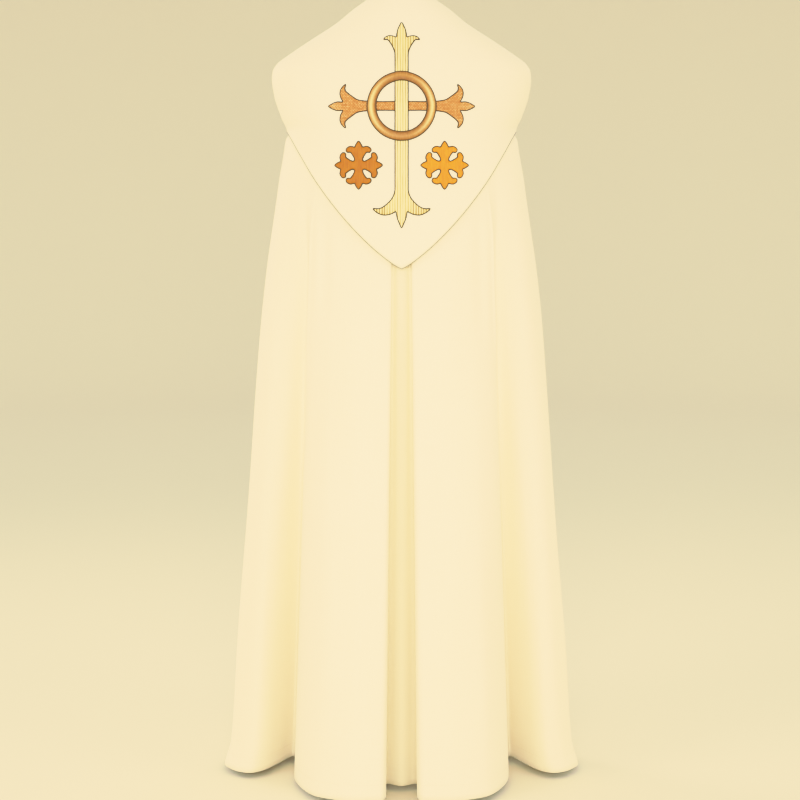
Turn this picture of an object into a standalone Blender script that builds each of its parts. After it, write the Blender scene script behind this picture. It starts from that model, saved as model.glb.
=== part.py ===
"""A church cope that hangs as it is worn, with nobody in it.

The origin is the middle of the neck opening, at the height of the back neck. +Z is up, the back
of the cope faces -Y, the open front faces +Y, and +X is the right hand side seen from behind.
Every panel is a thin wall of cloth. Its outer face is a grid: rows at set heights, and columns
that follow the same threads of cloth from the neck down to the hem, where they open into folds.
"""

import math
from collections import namedtuple

import bmesh
import bpy
from mathutils import Vector

# Cloth
BODY_WALL = 0.0024
HOOD_WALL = 0.0022
MORSE_WALL = 0.0030
SEAM_GAP = 0.0003

# Main heights, measured down from the back neck
HEM_HEIGHT = -1.430
FOLD_START = -0.280      # the folds begin here, under the hood
FOLD_SETTLED = -0.500    # the threads have reached their places in the folds here
FOLD_POWER = 1.2         # above 1, the folds open slowly at first
SHOULDER_HEIGHT = -0.140

# Places at the hem, from the middle plane
HEM_PLEAT_EDGE = 0.0283
HEM_PANEL_EDGE = 0.2008
HEM_SIDE = 0.3378
HEM_BACK = 0.2125

# The same lines at the height where the folds have settled
TOP_PLEAT_EDGE = 0.0180
TOP_PANEL_EDGE = 0.1655
FRONT_EDGE = 0.050

OVAL_POWER = 2.2         # roundness of the smooth upper sections

# Smooth outline of the body cloth: half width, and depth behind and before the neck's middle
OUTLINE_COLUMNS = ("height", "half_width", "back", "front")
OUTLINE = (
    (0.000, 0.0630, 0.0500, 0.0520),
    (-0.012, 0.0790, 0.0575, 0.0610),
    (-0.041, 0.1135, 0.0720, 0.0760),
    (-0.075, 0.1660, 0.0850, 0.0880),
    (-0.103, 0.2080, 0.0945, 0.0965),
    (-0.115, 0.2240, 0.0990, 0.1000),
    (-0.127, 0.2308, 0.1025, 0.1030),
    (-0.140, 0.2320, 0.1060, 0.1055),
    (-0.170, 0.2278, 0.1130, 0.1100),
    (-0.205, 0.2160, 0.1205, 0.1140),
    (-0.234, 0.2045, 0.1245, 0.1165),
    (-0.270, 0.2090, 0.1275, 0.1190),
    (-0.322, 0.2200, 0.1300, 0.1215),
    (-0.469, 0.2472, 0.1300, 0.1260),
    (-0.617, 0.2650, 0.1300, 0.1290),
    (-0.881, 0.2862, 0.1300, 0.1320),
    (-1.188, 0.3109, 0.1300, 0.1340),
    (-1.383, 0.3248, 0.1300, 0.1350),
    (HEM_HEIGHT, HEM_SIDE, 0.1300, 0.1350),
)

# Heights of the rows of the body cloth
BODY_ROWS = (
    0.000, -0.012, -0.041, -0.075, -0.103, -0.115, -0.127, -0.140, -0.170, -0.205, -0.234, -0.250,
    -0.322, -0.400, -0.500, -0.634, -0.850, -1.080, -1.290, -1.383, HEM_HEIGHT,
)

# Lines of cloth from the pleat's middle round to the front edge.
# turn: its place in the smooth section, 0 behind, 1 at the side, 2 at the front edge.
# hem_x and hem_y: its place at the hem. tuck: how far it slips sideways behind a fold there.
# steps: how many pieces the curve from the line before is drawn with.
Fold = namedtuple("Fold", "line turn hem_x hem_y tuck steps")
FOLDS = tuple(Fold(*row) for row in (
    ("pleat_middle", 0.000, 0.0000, -0.1295, 0.000, 1),
    ("pleat_floor", 0.010, 0.0200, -0.1205, 0.000, 1),
    ("floor_turn", 0.017, 0.0264, -0.1215, 0.006, 1),
    ("pleat_pocket", 0.025, 0.0274, -0.1400, 0.012, 1),
    ("pleat_wall", 0.033, 0.0279, -0.1630, 0.007, 1),
    ("pleat_edge", 0.040, 0.0283, -0.1840, 0.000, 1),
    ("pleat_corner", 0.047, 0.0300, -0.1985, 0.000, 1),
    ("panel_start", 0.058, 0.0355, -0.2090, 0.000, 1),
    ("panel_flat", 0.085, 0.0500, -0.2125, 0.000, 1),
    ("panel_middle", 0.190, 0.0925, -0.2125, 0.000, 2),
    ("panel_round", 0.300, 0.1399, -0.1957, 0.000, 2),
    ("panel_bend", 0.370, 0.1660, -0.1735, 0.000, 2),
    ("panel_flank", 0.425, 0.1898, -0.1240, 0.000, 2),
    ("panel_edge", 0.465, 0.2008, -0.0700, 0.000, 2),
    ("trough_wall", 0.495, 0.2025, -0.0100, -0.010, 2),
    ("trough_turn", 0.515, 0.2040, 0.0250, -0.006, 1),
    ("trough", 0.535, 0.2074, 0.0465, 0.000, 1),
    ("trough_out", 0.555, 0.2165, 0.0410, 0.000, 1),
    ("side_rise", 0.605, 0.2403, -0.0049, 0.000, 2),
    ("side_round", 0.660, 0.2609, -0.0381, 0.000, 1),
    ("side_crest", 0.720, 0.2826, -0.0524, 0.000, 2),
    ("side_fall", 0.790, 0.3062, -0.0452, 0.000, 1),
    ("side_turn", 0.880, 0.3237, -0.0273, 0.000, 1),
    ("side", 1.000, 0.3378, 0.0000, 0.000, 2),
    ("side_seam", 1.130, 0.3350, 0.0450, 0.000, 2),
    ("front_side", 1.260, 0.3090, 0.0980, 0.000, 2),
    ("front_crest", 1.380, 0.2680, 0.1270, 0.000, 2),
    ("front_dip", 1.470, 0.2340, 0.1150, 0.000, 1),
    ("front_trough", 1.530, 0.2120, 0.1260, 0.000, 1),
    ("front_rise", 1.610, 0.1880, 0.1660, 0.000, 1),
    ("front_round", 1.710, 0.1520, 0.1970, 0.000, 2),
    ("front_panel", 1.820, 0.1070, 0.2060, 0.000, 1),
    ("front_fall", 1.930, 0.0700, 0.1990, 0.000, 1),
    ("front_edge", 2.000, FRONT_EDGE, 0.1900, 0.000, 1),
))
TUCK_START = 0.10        # share of the fold's growth at which the cloth begins to tuck under

# The body cloth swells at the sides where it leaves the hood's edge
SWELL = 0.0070
SWELL_RISE = 0.016
SWELL_FALL = 0.300
SWELL_BACK_TURN = 0.50   # the turn behind at which the swelling begins
SWELL_FRONT_TURN = 1.60  # the turn in front at which it ends

# Hood
HOOD_TIP = -0.479
HOOD_SIDE = -0.234
HOOD_FRONT = -0.195
HOOD_EDGE_POWER = 1.10
HOOD_UPPER_ROWS = BODY_ROWS[:8]
HOOD_LOWER_STEPS = 7
HOOD_BACK_STEPS = 20     # columns from the back's middle to the side
HOOD_FRONT_STEPS = 8     # columns from the side to the front edge
HOOD_NECK_EASE = 0.0005  # gap to the body cloth at the neck
HOOD_EASE = 0.0025       # gap to the body cloth over the shoulder
HOOD_TIP_EASE = 0.0060   # gap to the body cloth at the tip
HOOD_EASE_DEPTH = 0.030  # the gap opens over this drop from the neck

# Morse
MORSE_HALF_WIDTH = 0.088
MORSE_TOP = -0.135
MORSE_BOTTOM = -0.190
MORSE_STEPS = 12
MORSE_ROWS = 4
MORSE_EASE = 0.0006

# Colours as linear RGB
CLOTH_COLOUR = (0.955, 0.840, 0.610, 1.0)
SHADE_COLOUR = (0.900, 0.770, 0.530, 1.0)
CLOTH_ROUGHNESS = 0.75


def clear_scene():
    for item in list(bpy.data.objects):
        bpy.data.objects.remove(item, do_unlink=True)


def cloth_material(name, colour):
    material = bpy.data.materials.new(name)
    material.use_nodes = True
    shader = material.node_tree.nodes["Principled BSDF"]
    shader.inputs["Base Color"].default_value = colour
    shader.inputs["Roughness"].default_value = CLOTH_ROUGHNESS
    shader.inputs["Metallic"].default_value = 0.0
    return material


def clamp(value, low=0.0, high=1.0):
    return max(low, min(high, value))


def ease(value):
    """A soft start and end between 0 and 1."""
    value = clamp(value)
    return value * value * (3.0 - 2.0 * value)


def outline_at(height, column):
    """Reads one column of OUTLINE at any height, as a smooth curve that never overshoots."""
    index = OUTLINE_COLUMNS.index(column)
    drops = [-row[0] for row in OUTLINE]
    values = [row[index] for row in OUTLINE]
    drop = clamp(-height, drops[0], drops[-1])
    spans = [b - a for a, b in zip(drops, drops[1:])]
    slopes = [(b - a) / span for a, b, span in zip(values, values[1:], spans)]
    tangents = [slopes[0]]
    for before, after in zip(slopes, slopes[1:]):
        tangents.append(0.0 if before * after <= 0.0 else 2.0 * before * after / (before + after))
    tangents.append(slopes[-1])
    place = 0
    while place < len(spans) - 1 and drop > drops[place + 1]:
        place += 1
    t = (drop - drops[place]) / spans[place]
    start, end = values[place], values[place + 1]
    lead, trail = tangents[place] * spans[place], tangents[place + 1] * spans[place]
    return (
        start * (2 * t**3 - 3 * t**2 + 1)
        + lead * (t**3 - 2 * t**2 + t)
        + end * (3 * t**2 - 2 * t**3)
        + trail * (t**3 - t**2)
    )


def fold_growth(height):
    """How far the folds have opened: 0 where they begin, 1 at the hem."""
    return clamp((FOLD_START - height) / (FOLD_START - HEM_HEIGHT)) ** FOLD_POWER


def side_width(height):
    return outline_at(height, "half_width")


def front_turn(height):
    """Angle from the front's middle at which the front edge lies, so that it hangs straight."""
    share = clamp(FRONT_EDGE / side_width(height), 0.0, 0.98)
    return math.asin(share ** (OVAL_POWER / 2.0))


def smooth_place(height, turn, back=None):
    """A point of the smooth section, where turn is 0 behind, 1 at the side and 2 at the front edge."""
    half_width = side_width(height)
    if back is None:
        back = outline_at(height, "back")
    front = outline_at(height, "front")
    if turn <= 1.0:
        angle = turn * math.pi / 2.0
        across, along = math.sin(angle), -math.cos(angle)
    else:
        angle = (2.0 - turn) * (math.pi / 2.0 - front_turn(height)) + front_turn(height)
        across, along = math.sin(angle), math.cos(angle)
    depth = back if along < 0.0 else front
    power = 2.0 / OVAL_POWER
    x = half_width * abs(across) ** power
    y = math.copysign(depth * abs(along) ** power, along)
    return x, y


def guided_x(height, hem_x, turn):
    """Moves a hem place sideways to another height, along the pleat's, panel's and side's edges."""
    drop = clamp((height - HEM_HEIGHT) / (FOLD_SETTLED - HEM_HEIGHT), 0.0, 1.2)
    pleat = HEM_PLEAT_EDGE + (TOP_PLEAT_EDGE - HEM_PLEAT_EDGE) * drop
    panel = HEM_PANEL_EDGE + (TOP_PANEL_EDGE - HEM_PANEL_EDGE) * drop
    if turn <= 1.0:
        marks = ((0.0, 0.0), (HEM_PLEAT_EDGE, pleat), (HEM_PANEL_EDGE, panel), (HEM_SIDE, side_width(height)))
    else:
        marks = ((FRONT_EDGE, FRONT_EDGE), (HEM_SIDE, side_width(height)))
    for (hem_a, x_a), (hem_b, x_b) in zip(marks, marks[1:]):
        if hem_x <= hem_b or (hem_b, x_b) == marks[-1]:
            return x_a + (hem_x - hem_a) * (x_b - x_a) / (hem_b - hem_a)
    return hem_x


def hood_edge(turn):
    """Height of the hood's lower edge: a point behind, rising to the side and on to the front."""
    if turn <= 1.0:
        rise = math.sin(turn * math.pi / 2.0) ** HOOD_EDGE_POWER
        return HOOD_TIP + (HOOD_SIDE - HOOD_TIP) * rise
    return HOOD_SIDE + (HOOD_FRONT - HOOD_SIDE) * ease(turn - 1.0)


def swelling(height, turn):
    """How far the body cloth stands out sideways just below the hood's edge."""
    below = hood_edge(turn) - height
    if below <= 0.0:
        return 0.0
    if turn <= 1.0:
        share = ease((turn - SWELL_BACK_TURN) / (1.0 - SWELL_BACK_TURN))
    else:
        share = ease((SWELL_FRONT_TURN - turn) / (SWELL_FRONT_TURN - 1.0))
    return SWELL * share * ease(below / SWELL_RISE) * (1.0 - ease(below / SWELL_FALL))


def fold_place(height, fold):
    """Where one line of FOLDS passes through a height."""
    x, y = smooth_place(height, fold.turn)
    x += swelling(height, fold.turn)
    growth = fold_growth(height)
    if growth <= 0.0:
        return x, y
    settled = ease((FOLD_START - height) / (FOLD_START - FOLD_SETTLED))
    tucked = clamp((growth - TUCK_START) / (1.0 - TUCK_START))
    x = x + (guided_x(height, fold.hem_x, fold.turn) - x) * settled + fold.tuck * tucked
    return x, y + (fold.hem_y - y) * growth


def curve_point(before, start, end, after, t):
    """A point of a rounded curve through a row of points, between start and end."""
    return tuple(
        0.5
        * (
            2.0 * b
            + (c - a) * t
            + (2.0 * a - 5.0 * b + 4.0 * c - d) * t**2
            + (3.0 * b - a - 3.0 * c + d) * t**3
        )
        for a, b, c, d in zip(before, start, end, after)
    )


def half_section(height):
    """The right half's line of cloth at a height, from the pleat's middle to the front edge."""
    keys = [fold_place(height, fold) for fold in FOLDS]
    mirrored = (-keys[1][0], keys[1][1])
    beyond = tuple(2.0 * last - inner for last, inner in zip(keys[-1], keys[-2]))
    keys = [mirrored, *keys, beyond]
    points = [keys[1]]
    for place, fold in enumerate(FOLDS[1:], start=1):
        for step in range(1, fold.steps + 1):
            points.append(curve_point(*keys[place - 1 : place + 3], step / fold.steps))
    return points


def column_of(line):
    """The number of the column, counted from the back's middle, at which a fold line lies."""
    count = 0
    for fold in FOLDS:
        if fold is not FOLDS[0]:
            count += fold.steps
        if fold.line == line:
            return count
    raise ValueError(line)


def full_ring(height):
    """The whole line of cloth at a height, from the left front edge round the back to the right."""
    right = [Vector((x, y, height)) for x, y in half_section(height)]
    left = [Vector((-p.x, p.y, p.z)) for p in right[:0:-1]]
    return left + right


def grid_normals(grid):
    """Directions that point out of the cloth, one for each point of a grid of rows."""
    rows, columns = len(grid), len(grid[0])
    normals = []
    for r in range(rows):
        line = []
        for c in range(columns):
            across = grid[r][min(c + 1, columns - 1)] - grid[r][max(c - 1, 0)]
            down = grid[min(r + 1, rows - 1)][c] - grid[max(r - 1, 0)][c]
            line.append(down.cross(across).normalized())
        normals.append(line)
    return normals


def moved_out(grid, normals, distance):
    """Moves a grid out along its normals by a distance, or by a function of row and column."""
    return [
        [
            point + normals[r][c] * (distance(r, c) if callable(distance) else distance)
            for c, point in enumerate(row)
        ]
        for r, row in enumerate(grid)
    ]


def trimmed(grid, columns):
    """The columns of one panel, whose seam edges draw back by half of the seam's gap."""
    first, last = columns
    panel = [row[first : last + 1] for row in grid]
    for row, whole in zip(panel, grid):
        if first > 0:
            row[0] = row[0] + (row[1] - row[0]).normalized() * SEAM_GAP / 2.0
        if last < len(whole) - 1:
            row[-1] = row[-1] + (row[-2] - row[-1]).normalized() * SEAM_GAP / 2.0
    return panel


def cloth_wall(name, outer, inner, material):
    """One closed solid between an outer and an inner grid of the same size."""
    mesh = bpy.data.meshes.new(name)
    form = bmesh.new()
    rows, columns = len(outer), len(outer[0])
    skin = [[form.verts.new(p) for p in row] for row in outer]
    back = [[form.verts.new(p) for p in row] for row in inner]
    for r in range(rows - 1):
        for c in range(columns - 1):
            form.faces.new((skin[r][c], skin[r + 1][c], skin[r + 1][c + 1], skin[r][c + 1]))
            form.faces.new((back[r][c], back[r][c + 1], back[r + 1][c + 1], back[r + 1][c]))
    for r in range(rows - 1):
        form.faces.new((skin[r][0], back[r][0], back[r + 1][0], skin[r + 1][0]))
        form.faces.new((skin[r][-1], skin[r + 1][-1], back[r + 1][-1], back[r][-1]))
    for c in range(columns - 1):
        form.faces.new((skin[0][c], skin[0][c + 1], back[0][c + 1], back[0][c]))
        form.faces.new((skin[-1][c], back[-1][c], back[-1][c + 1], skin[-1][c + 1]))
    bmesh.ops.triangulate(form, faces=form.faces[:])
    bmesh.ops.recalc_face_normals(form, faces=form.faces[:])
    form.to_mesh(mesh)
    form.free()
    mesh.materials.append(material)
    item = bpy.data.objects.new(name, mesh)
    bpy.context.collection.objects.link(item)
    return item


def build_body(cloth, shade):
    grid = [full_ring(height) for height in BODY_ROWS]
    normals = grid_normals(grid)
    inner = moved_out(grid, normals, -BODY_WALL)
    middle = column_of("front_edge")
    floor_seam = column_of("pleat_pocket")
    side_seam = column_of("side_seam")
    last = 2 * middle
    panels = (
        ("front_left", (0, middle - side_seam), cloth),
        ("back_left", (middle - side_seam, middle - floor_seam), cloth),
        ("pleat_underlay", (middle - floor_seam, middle + floor_seam), shade),
        ("back_right", (middle + floor_seam, middle + side_seam), cloth),
        ("front_right", (middle + side_seam, last), cloth),
    )
    for name, columns, material in panels:
        cloth_wall(name, trimmed(grid, columns), trimmed(inner, columns), material)


def envelope_place(height, turn):
    """The smooth form that the body cloth stays inside of, also where its folds open."""
    growth = fold_growth(height)
    back = outline_at(height, "back")
    return smooth_place(height, turn, back + (HEM_BACK - back) * growth)


def hood_row(step, turn):
    """Height of one row of the hood at a turn: level over the shoulder, then down to the edge."""
    if step < len(HOOD_UPPER_ROWS):
        return HOOD_UPPER_ROWS[step]
    share = (step - len(HOOD_UPPER_ROWS) + 1) / HOOD_LOWER_STEPS
    top = HOOD_UPPER_ROWS[-1]
    return top + (hood_edge(turn) - top) * share


def hood_turns():
    """The places of the hood's columns, from the left front edge round to the right."""
    half = [step / HOOD_BACK_STEPS for step in range(HOOD_BACK_STEPS)]
    half += [1.0 + step / HOOD_FRONT_STEPS for step in range(HOOD_FRONT_STEPS + 1)]
    return [-turn for turn in half[:0:-1]] + half


def envelope_point(height, turn):
    x, y = envelope_place(height, abs(turn))
    return Vector((math.copysign(x, turn) if turn else 0.0, y, height))


def hood_ease(height):
    """The gap between the hood and the body cloth below it."""
    opening = ease(-height / HOOD_EASE_DEPTH)
    gap = HOOD_NECK_EASE + (HOOD_EASE - HOOD_NECK_EASE) * opening
    hang = ease((SHOULDER_HEIGHT - height) / (SHOULDER_HEIGHT - HOOD_TIP))
    return gap + (HOOD_TIP_EASE - HOOD_EASE) * hang


def build_hood(material):
    turns = hood_turns()
    steps = len(HOOD_UPPER_ROWS) + HOOD_LOWER_STEPS
    base = [[envelope_point(hood_row(step, abs(t)), t) for t in turns] for step in range(steps)]
    normals = grid_normals(base)

    def gap(r, c):
        return hood_ease(base[r][c].z)

    inner = moved_out(base, normals, gap)
    outer = moved_out(inner, normals, HOOD_WALL)
    cloth_wall("hood", outer, inner, material)


def front_surface(height, x):
    """A point of the smooth front at a place across it, also between the two front edges."""
    share = clamp(abs(x) / side_width(height)) ** OVAL_POWER
    y = outline_at(height, "front") * (1.0 - share) ** (1.0 / OVAL_POWER)
    return Vector((x, y, height))


def build_morse(material):
    rows = [MORSE_TOP + (MORSE_BOTTOM - MORSE_TOP) * r / (MORSE_ROWS - 1) for r in range(MORSE_ROWS)]
    across = [MORSE_HALF_WIDTH * (1.0 - 2.0 * c / MORSE_STEPS) for c in range(MORSE_STEPS + 1)]
    base = [[front_surface(height, x) for x in across] for height in rows]
    normals = grid_normals(base)
    lift = hood_ease(MORSE_BOTTOM) + HOOD_WALL + MORSE_EASE
    inner = moved_out(base, normals, lift)
    outer = moved_out(inner, normals, MORSE_WALL)
    cloth_wall("morse", outer, inner, material)


def build_cope():
    cloth = cloth_material("cream_cloth", CLOTH_COLOUR)
    shade = cloth_material("pleat_cloth", SHADE_COLOUR)
    build_body(cloth, shade)
    build_hood(cloth)
    build_morse(cloth)


clear_scene()
build_cope()
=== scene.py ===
"""The looks of the cope: cloth shells with their soft creases, the hood and its embroidery.

The shells repeat the same lines of cloth as the solids, drawn finer and with rounded rims.
"""

import math
from collections import namedtuple

import bmesh
import bpy
import numpy as np
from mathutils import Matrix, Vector
from mathutils.bvhtree import BVHTree


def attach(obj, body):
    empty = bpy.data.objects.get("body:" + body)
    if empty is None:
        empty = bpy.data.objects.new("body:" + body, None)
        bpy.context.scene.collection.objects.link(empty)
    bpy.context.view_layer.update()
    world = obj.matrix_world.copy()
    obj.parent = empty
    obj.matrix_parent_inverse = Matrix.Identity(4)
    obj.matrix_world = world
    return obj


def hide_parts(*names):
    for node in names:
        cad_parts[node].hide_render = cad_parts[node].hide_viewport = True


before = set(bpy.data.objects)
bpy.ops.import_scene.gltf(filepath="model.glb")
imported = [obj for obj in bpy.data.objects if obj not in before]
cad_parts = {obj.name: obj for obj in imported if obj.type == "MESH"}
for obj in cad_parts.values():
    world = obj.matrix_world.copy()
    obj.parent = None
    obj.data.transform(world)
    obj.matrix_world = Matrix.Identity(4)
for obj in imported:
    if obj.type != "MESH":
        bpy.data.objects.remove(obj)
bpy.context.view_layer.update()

# Cloth, as in the solids
BODY_WALL = 0.0024
HOOD_WALL = 0.0022
MORSE_WALL = 0.0030
SEAM_GAP = 0.0003

HEM_HEIGHT = -1.430
FOLD_START = -0.280
FOLD_SETTLED = -0.500
FOLD_POWER = 1.2
SHOULDER_HEIGHT = -0.140
HEM_PLEAT_EDGE = 0.0283
HEM_PANEL_EDGE = 0.2008
HEM_SIDE = 0.3378
HEM_BACK = 0.2125
TOP_PLEAT_EDGE = 0.0180
TOP_PANEL_EDGE = 0.1655
FRONT_EDGE = 0.050
OVAL_POWER = 2.2

# Smooth outline of the body cloth: half width, and depth behind and before the neck's middle
Outline = namedtuple("Outline", "height half_width back front")
OUTLINE = (
    (0.000, 0.0630, 0.0500, 0.0520),
    (-0.012, 0.0790, 0.0575, 0.0610),
    (-0.041, 0.1135, 0.0720, 0.0760),
    (-0.075, 0.1660, 0.0850, 0.0880),
    (-0.103, 0.2080, 0.0945, 0.0965),
    (-0.115, 0.2240, 0.0990, 0.1000),
    (-0.127, 0.2308, 0.1025, 0.1030),
    (-0.140, 0.2320, 0.1060, 0.1055),
    (-0.170, 0.2278, 0.1130, 0.1100),
    (-0.205, 0.2160, 0.1205, 0.1140),
    (-0.234, 0.2045, 0.1245, 0.1165),
    (-0.270, 0.2090, 0.1275, 0.1190),
    (-0.322, 0.2200, 0.1300, 0.1215),
    (-0.469, 0.2472, 0.1300, 0.1260),
    (-0.617, 0.2650, 0.1300, 0.1290),
    (-0.881, 0.2862, 0.1300, 0.1320),
    (-1.188, 0.3109, 0.1300, 0.1340),
    (-1.383, 0.3248, 0.1300, 0.1350),
    (HEM_HEIGHT, HEM_SIDE, 0.1300, 0.1350),
)

# Lines of cloth from the pleat's middle round to the front edge, as in the solids.
# steps: how many pieces the curve from the line before is drawn with.
Fold = namedtuple("Fold", "line turn hem_x hem_y steps tuck", defaults=(0.0,))
FOLDS = tuple(Fold(*row) for row in (
    ("pleat_middle", 0.000, 0.0000, -0.1295, 1),
    ("pleat_floor", 0.010, 0.0200, -0.1205, 5),
    ("floor_turn", 0.017, 0.0264, -0.1215, 3, 0.006),
    ("pleat_pocket", 0.025, 0.0274, -0.1400, 4, 0.012),
    ("pleat_wall", 0.033, 0.0279, -0.1630, 4, 0.007),
    ("pleat_edge", 0.040, 0.0283, -0.1840, 4),
    ("pleat_corner", 0.047, 0.0300, -0.1985, 4),
    ("panel_start", 0.058, 0.0355, -0.2090, 4),
    ("panel_flat", 0.085, 0.0500, -0.2125, 4),
    ("panel_middle", 0.190, 0.0925, -0.2125, 8),
    ("panel_round", 0.300, 0.1399, -0.1957, 8),
    ("panel_bend", 0.370, 0.1660, -0.1735, 6),
    ("panel_flank", 0.425, 0.1898, -0.1240, 8),
    ("panel_edge", 0.465, 0.2008, -0.0700, 7),
    ("trough_wall", 0.495, 0.2025, -0.0100, 7, -0.010),
    ("trough_turn", 0.515, 0.2040, 0.0250, 5, -0.006),
    ("trough", 0.535, 0.2074, 0.0465, 4),
    ("trough_out", 0.555, 0.2165, 0.0410, 4),
    ("side_rise", 0.605, 0.2403, -0.0049, 7),
    ("side_round", 0.660, 0.2609, -0.0381, 5),
    ("side_crest", 0.720, 0.2826, -0.0524, 5),
    ("side_fall", 0.790, 0.3062, -0.0452, 5),
    ("side_turn", 0.880, 0.3237, -0.0273, 4),
    ("side", 1.000, 0.3378, 0.0000, 6),
    ("side_seam", 1.130, 0.3350, 0.0450, 6),
    ("front_side", 1.260, 0.3090, 0.0980, 6),
    ("front_crest", 1.380, 0.2680, 0.1270, 6),
    ("front_dip", 1.470, 0.2340, 0.1150, 5),
    ("front_trough", 1.530, 0.2120, 0.1260, 4),
    ("front_rise", 1.610, 0.1880, 0.1660, 5),
    ("front_round", 1.710, 0.1520, 0.1970, 6),
    ("front_panel", 1.820, 0.1070, 0.2060, 6),
    ("front_fall", 1.930, 0.0700, 0.1990, 5),
    ("front_edge", 2.000, FRONT_EDGE, 0.1900, 4),
))
TUCK_START = 0.10
SWELL = 0.0070
SWELL_RISE = 0.016
SWELL_FALL = 0.300
SWELL_BACK_TURN = 0.50
SWELL_FRONT_TURN = 1.60

# Hood, as in the solids
HOOD_TIP = -0.479
HOOD_SIDE = -0.234
HOOD_FRONT = -0.195
HOOD_EDGE_POWER = 1.10
HOOD_BACK_STEPS = 90
HOOD_FRONT_STEPS = 36
HOOD_UPPER_STEPS = 36
HOOD_LOWER_STEPS = 44
HOOD_NECK_EASE = 0.0005
HOOD_EASE = 0.0025
HOOD_TIP_EASE = 0.0060
HOOD_EASE_DEPTH = 0.030

# Morse, as in the solids
MORSE_HALF_WIDTH = 0.088
MORSE_TOP = -0.135
MORSE_BOTTOM = -0.190
MORSE_EASE = 0.0006

ROW_STEP = 0.0085        # spacing of the rows of the fine cloth
UPPER_ROW_STEP = 0.0045  # spacing over the shoulders
UPPER_ROWS_END = -0.294
RIM_ROUND = 0.25         # how far a rim bulges, as a share of the wall
SEAM_SHARE = 0.6         # most of a column's width by which a seam may draw it in
MORSE_ROWS = 28
MORSE_COLUMNS = 80

# Soft creases that run down the cloth. side: -1 left, 1 right. turn: which thread they follow.
# top, bottom: heights between which they fade in and out. lift: out of (+) or into (-) the cloth.
Crease = namedtuple("Crease", "side turn top bottom lift width")
CREASES = tuple(Crease(*row) for row in (
    (-1, 0.0135, -0.200, -1.750, -0.0046, 0.016),
    (1, 0.0135, -0.200, -1.750, -0.0044, 0.016),
    (-1, 0.462, -0.300, -0.760, 0.0034, 0.026),
    (1, 0.460, -0.310, -0.700, 0.0036, 0.026),
    (-1, 0.375, -0.330, -0.600, -0.0030, 0.050),
    (1, 0.385, -0.320, -0.640, -0.0028, 0.050),
    (-1, 0.235, -0.430, -0.820, 0.0026, 0.070),
    (1, 0.215, -0.440, -0.760, 0.0024, 0.065),
    (-1, 0.120, -0.560, -1.350, -0.0016, 0.040),
    (1, 0.150, -0.620, -1.300, -0.0018, 0.045),
    (-1, 0.300, -0.900, -1.420, 0.0020, 0.050),
    (1, 0.320, -0.950, -1.425, 0.0018, 0.050),
    (-1, 0.680, -0.560, -1.340, -0.0026, 0.060),
    (1, 0.700, -0.600, -1.300, -0.0028, 0.060),
    (-1, 0.760, -0.330, -0.820, 0.0022, 0.050),
    (1, 0.740, -0.350, -0.760, 0.0024, 0.050),
    (-1, 0.850, -0.700, -1.380, -0.0030, 0.050),
    (1, 0.870, -0.780, -1.390, -0.0028, 0.050),
    (-1, 1.080, -0.420, -1.150, -0.0030, 0.060),
    (1, 1.060, -0.480, -1.240, -0.0032, 0.060),
    (-1, 1.230, -0.360, -1.050, 0.0030, 0.060),
    (1, 1.260, -0.380, -1.180, 0.0030, 0.060),
    (-1, 1.560, -0.330, -0.900, -0.0034, 0.050),
    (1, 1.540, -0.310, -0.960, -0.0034, 0.050),
    (-1, 1.780, -0.420, -1.300, 0.0026, 0.060),
    (1, 1.750, -0.450, -1.240, 0.0028, 0.060),
    (-1, 1.880, -0.260, -0.700, -0.0020, 0.040),
    (1, 1.900, -0.280, -0.760, -0.0020, 0.040),
))
CREASE_FADE = 0.35       # share of a crease's length over which it fades at each end

STITCH_PITCH = 0.0056
STITCH_LENGTH = 0.0036
STITCH_RADIUS = 0.00030
STITCH_END = 0.35        # thickness of a stitch's ends, as a share of its middle's
STITCH_SHAPE = ((0.0, STITCH_END), (0.2, 0.9), (0.5, 1.0), (0.8, 0.9), (1.0, STITCH_END))
HEM_STITCH_ROW = -4      # the row of the cloth that the hem's stitches follow
EDGE_STITCH_COLUMN = 2   # the column, from the front edge
EDGE_STITCH_ENDS = 2     # rows without stitches at each end of the front edge
MORSE_STITCH_INSET = 2   # rows and columns from the morse's edge
CORD_SIDES = 6
# A thin tan tube along the hood's lower edge, put where the edge's shadow falls: painted shadow
EDGE_SHADOW_CORD_RADIUS = 0.0010
EDGE_SHADOW_CORD_SUNK = 0.0003


def clamp(value, low=0.0, high=1.0):
    return max(low, min(high, value))


def ease(value):
    """A soft start and end between 0 and 1, for a number or an array."""
    value = np.clip(value, 0.0, 1.0)
    return value * value * (3.0 - 2.0 * value)


def level(height):
    """The sizes of the smooth section at a height, on smooth curves that never overshoot OUTLINE's rows."""
    drops = [-row[0] for row in OUTLINE]
    drop = clamp(-height, drops[0], drops[-1])
    place = 0
    while place < len(drops) - 2 and drop > drops[place + 1]:
        place += 1
    sizes = [height]
    for values in list(zip(*OUTLINE))[1:]:
        spans = [b - a for a, b in zip(drops, drops[1:])]
        slopes = [(b - a) / span for a, b, span in zip(values, values[1:], spans)]
        tangents = [slopes[0]]
        for before, after in zip(slopes, slopes[1:]):
            tangents.append(0.0 if before * after <= 0.0 else 2.0 * before * after / (before + after))
        tangents.append(slopes[-1])
        t, span = (drop - drops[place]) / spans[place], spans[place]
        sizes.append(
            values[place] * (2 * t**3 - 3 * t**2 + 1)
            + tangents[place] * span * (t**3 - 2 * t**2 + t)
            + values[place + 1] * (3 * t**2 - 2 * t**3)
            + tangents[place + 1] * span * (t**3 - t**2)
        )
    return Outline(*sizes)


def fold_growth(height):
    """How far the folds have opened: 0 where they begin, 1 at the hem."""
    return clamp((FOLD_START - height) / (FOLD_START - HEM_HEIGHT)) ** FOLD_POWER


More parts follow.
